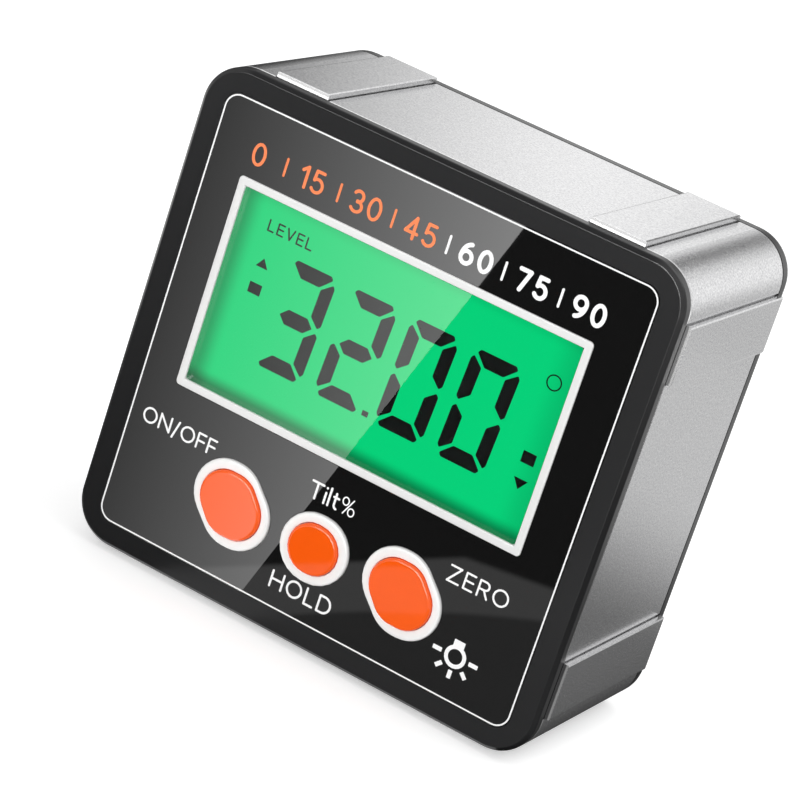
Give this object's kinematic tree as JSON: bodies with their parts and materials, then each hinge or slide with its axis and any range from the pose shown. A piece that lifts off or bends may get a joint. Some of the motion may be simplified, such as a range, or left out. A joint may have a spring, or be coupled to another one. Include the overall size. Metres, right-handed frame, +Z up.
{
  "type": "digital inclinometer",
  "caption": "Box-shaped digital inclinometer: aluminium extrusion with raised reference lands, backlit display, press keys, magnetic base and a lift-off battery door.",
  "frame": {"origin": "bottom centre of the whole object, on the plane of the two bottom lands", "axes": "+X to the right across the front, +Y from the front to the rear, +Z up; the display faces -Y"},
  "size_m": [0.0646, 0.0314, 0.0617],
  "materials": {
    "black_abs": "satin moulded ABS",
    "black_acrylic": "polished back-printed acrylic",
    "white_abs": "smooth moulded ABS",
    "clear_acrylic": "clear polished acrylic",
    "lcd_glass": "green lit liquid crystal cell",
    "orange_abs": "smooth moulded ABS",
    "anodised_aluminium": "bead blasted and anodised",
    "black_rubber": "moulded rubber",
    "clear_silicone": "translucent silicone",
    "switch_housing": "moulded nylon",
    "switch_plunger": "moulded acetal",
    "white_holder": "moulded ABS",
    "diffuser_acrylic": "frosted acrylic",
    "reflector_film": "white film",
    "led_body": "moulded LED package",
    "zebra_elastomer": "layered conductive elastomer",
    "zinc_steel": "zinc plated steel",
    "black_steel": "black zinc plated steel",
    "nickel_magnet": "nickel plated neodymium magnet",
    "green_board": "glass epoxy with solder mask",
    "chip_epoxy": "moulded epoxy",
    "steel_can": "drawn nickel silver can",
    "capacitor_sleeve": "sleeved aluminium can",
    "cell_wrap": "printed film over a steel can",
    "nickel_contact": "nickel plated spring steel",
    "red_pvc": "PVC insulated lead",
    "black_pvc": "PVC insulated lead",
    "grey_foam": "closed cell foam",
    "brass_insert": "knurled brass"
  },
  "bodies": {
    "case": {"front_bezel": "black_abs", "face_panel": "black_acrylic", "display_frame": "white_abs", "display_window": "clear_acrylic", "lcd_cell": "lcd_glass", "lcd_holder": "white_holder", "light_guide": "diffuser_acrylic", "backlight_reflector": "reflector_film", "backlight_leds": "led_body", "zebra_strip": "zebra_elastomer", "front_gasket": "black_rubber", "extruded_frame": "anodised_aluminium", "rear_gasket": "black_rubber", "rear_cover": "black_abs", "front_screws": "zinc_steel", "rear_screws": "black_steel", "base_magnets": "nickel_magnet", "main_pcb": "green_board", "pcb_screws": "zinc_steel", "tilt_sensor": "chip_epoxy", "microcontroller": "chip_epoxy", "clock_crystal": "steel_can", "capacitors": "capacitor_sleeve", "battery_cell_upper": "cell_wrap", "battery_cell_lower": "cell_wrap", "battery_contacts": "nickel_contact", "battery_springs": "nickel_contact", "red_wire": "red_pvc", "black_wire": "black_pvc", "door_gasket": "black_rubber", "screw_inserts": "brass_insert", "power_key_collar": "white_abs", "hold_key_collar": "white_abs", "zero_key_collar": "white_abs", "power_key_boot": "clear_silicone", "hold_key_boot": "clear_silicone", "zero_key_boot": "clear_silicone", "power_switch": "switch_housing", "hold_switch": "switch_housing", "zero_switch": "switch_housing"},
    "power_button": {"power_key": "orange_abs", "power_switch_plunger": "switch_plunger"},
    "hold_button": {"hold_key": "orange_abs", "hold_switch_plunger": "switch_plunger"},
    "zero_button": {"zero_key": "orange_abs", "zero_switch_plunger": "switch_plunger"},
    "door": {"battery_door": "black_abs", "battery_pad": "grey_foam"},
    "upper_screw": {"door_screw_upper": "black_steel"},
    "lower_screw": {"door_screw_lower": "black_steel"}
  },
  "joints": [
    {"name": "power_key_press", "type": "slide", "parent": "case", "child": "power_button", "axis": [0, 1, 0], "range_m": [0, 0.0005], "stiffness_N_per_m": 3000, "deforming": ["power_key_boot"]},
    {"name": "hold_key_press", "type": "slide", "parent": "case", "child": "hold_button", "axis": [0, 1, 0], "range_m": [0, 0.0005], "stiffness_N_per_m": 3000, "deforming": ["hold_key_boot"]},
    {"name": "zero_key_press", "type": "slide", "parent": "case", "child": "zero_button", "axis": [0, 1, 0], "range_m": [0, 0.0005], "stiffness_N_per_m": 3000, "deforming": ["zero_key_boot"]},
    {"name": "battery_door_lift", "type": "slide", "parent": "case", "child": "door", "axis": [0, 1, 0], "range_m": [0, 0.02]},
    {"name": "upper_screw_turn", "type": "hinge", "parent": "door", "child": "upper_screw", "pos_m": [0, 0.0156, 0.04675], "axis": [0, 1, 0], "continuous": true},
    {"name": "lower_screw_turn", "type": "hinge", "parent": "door", "child": "lower_screw", "pos_m": [0, 0.0156, 0.01495], "axis": [0, 1, 0], "continuous": true}
  ]
}
